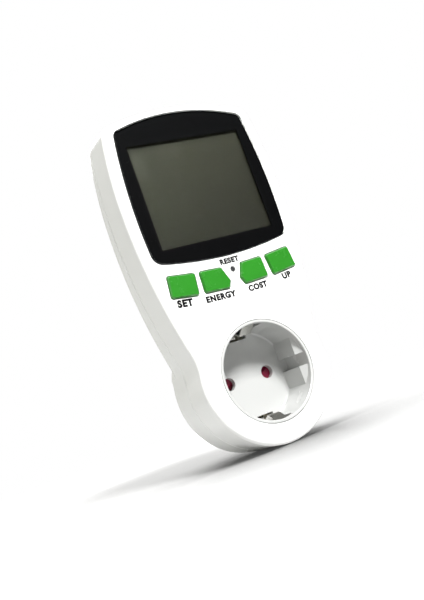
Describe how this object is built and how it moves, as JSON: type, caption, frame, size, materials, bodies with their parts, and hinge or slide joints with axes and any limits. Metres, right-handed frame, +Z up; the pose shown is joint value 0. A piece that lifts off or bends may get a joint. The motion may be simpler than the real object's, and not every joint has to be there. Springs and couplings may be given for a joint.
{
  "type": "plug-in power meter",
  "caption": "Wall-plug energy meter with a large display, green keys, a shuttered round mains socket on its front and a two-pin earthed plug on its back.",
  "frame": {"origin": "midway between the two plug pins, on the plug's engagement face", "axes": "+Y out of the plug towards the wall, along the pins; +Z up to the display end; +X right as seen from the front"},
  "size_m": [0.0758, 0.0665, 0.1462],
  "materials": {
    "case_white": "glossy white ABS",
    "label_silver": "plain satin sticker",
    "lens_clear": "clear acrylic, gloss",
    "mask_black": "black print",
    "lcd_glass": "dark grey-green, switched off",
    "reflector_grey": "satin film",
    "black_plastic": "moulded black plastic",
    "zebra_rubber": "layered silicone",
    "board_green": "solder mask",
    "chip_black": "moulded epoxy",
    "steel": "plated steel",
    "key_green": "glossy green plastic",
    "socket_white": "glossy white thermoplastic",
    "shutter_red": "red moulded plastic",
    "carrier_cream": "heat-resistant plastic",
    "brass": "bright brass",
    "nickel": "nickel-plated brass",
    "capacitor_yellow": "potted plastic box",
    "sleeve_black": "shrink sleeve",
    "varistor_blue": "epoxy-coated ceramic",
    "fuse_ceramic": "white ceramic tube",
    "manganin": "bare resistance alloy",
    "battery_green": "shrink sleeve",
    "cable_grey": "flat cable",
    "wire_brown": "wire insulation",
    "wire_blue": "wire insulation"
  },
  "bodies": {
    "case": {"backup_battery": "battery_green", "battery_holder": "black_plastic", "board_cable": "cable_grey", "bulk_capacitor": "sleeve_black", "case_screws": "steel", "contact_carrier": "carrier_cream", "controller_chip": "chip_black", "crystal": "steel", "display_board": "board_green", "display_board_screws": "steel", "display_lens": "lens_clear", "earth_bridge": "nickel", "front_shell": "case_white", "fuse": "fuse_ceramic", "fuse_clips": "nickel", "lcd_frame": "black_plastic", "lcd_panel": "lcd_glass", "lcd_reflector": "reflector_grey", "lens_mask": "mask_black", "live_contact": "brass", "live_insulator": "carrier_cream", "live_pin": "nickel", "live_wire": "wire_brown", "lower_earth_contact": "nickel", "metering_chip": "chip_black", "neutral_contact": "brass", "neutral_link": "brass", "neutral_pin": "nickel", "neutral_wire": "wire_blue", "power_board": "board_green", "power_board_screws": "steel", "rating_label": "label_silver", "rear_shell": "case_white", "rectifier_diodes": "chip_black", "shunt_resistor": "manganin", "shutter_spring": "steel", "socket_insert": "socket_white", "switch_housings": "black_plastic", "upper_earth_contact": "nickel", "varistor": "varistor_blue", "x_capacitor": "capacitor_yellow", "zebra_strip": "zebra_rubber"},
    "set_button": {"set_button": "key_green", "set_switch_plunger": "black_plastic"},
    "energy_button": {"energy_button": "key_green", "energy_switch_plunger": "black_plastic"},
    "cost_button": {"cost_button": "key_green", "cost_switch_plunger": "black_plastic"},
    "up_button": {"up_button": "key_green", "up_switch_plunger": "black_plastic"},
    "reset_plunger": {"reset_plunger": "black_plastic"},
    "socket_shutter": {"socket_shutter": "shutter_red"}
  },
  "joints": [
    {"name": "set_press", "type": "slide", "parent": "case", "child": "set_button", "axis": [0, 1, 0], "range_m": [0, 0.0005], "stiffness_N_per_m": 800, "springref_m": -0.0005},
    {"name": "energy_press", "type": "slide", "parent": "case", "child": "energy_button", "axis": [0, 1, 0], "range_m": [0, 0.0005], "stiffness_N_per_m": 800, "springref_m": -0.0005},
    {"name": "cost_press", "type": "slide", "parent": "case", "child": "cost_button", "axis": [0, 1, 0], "range_m": [0, 0.0005], "stiffness_N_per_m": 800, "springref_m": -0.0005},
    {"name": "up_press", "type": "slide", "parent": "case", "child": "up_button", "axis": [0, 1, 0], "range_m": [0, 0.0005], "stiffness_N_per_m": 800, "springref_m": -0.0005},
    {"name": "reset_press", "type": "slide", "parent": "case", "child": "reset_plunger", "axis": [0, 1, 0], "range_m": [0, 0.0003], "stiffness_N_per_m": 400, "springref_m": -0.0005},
    {"name": "shutter_turn", "type": "hinge", "parent": "case", "child": "socket_shutter", "pos_m": [0, -0.0248, 0], "axis": [0, 1, 0], "range_deg": [0, 38], "stiffness_Nm_per_rad": 0.002, "springref_deg": -17.19, "deforming": ["shutter_spring"]}
  ]
}
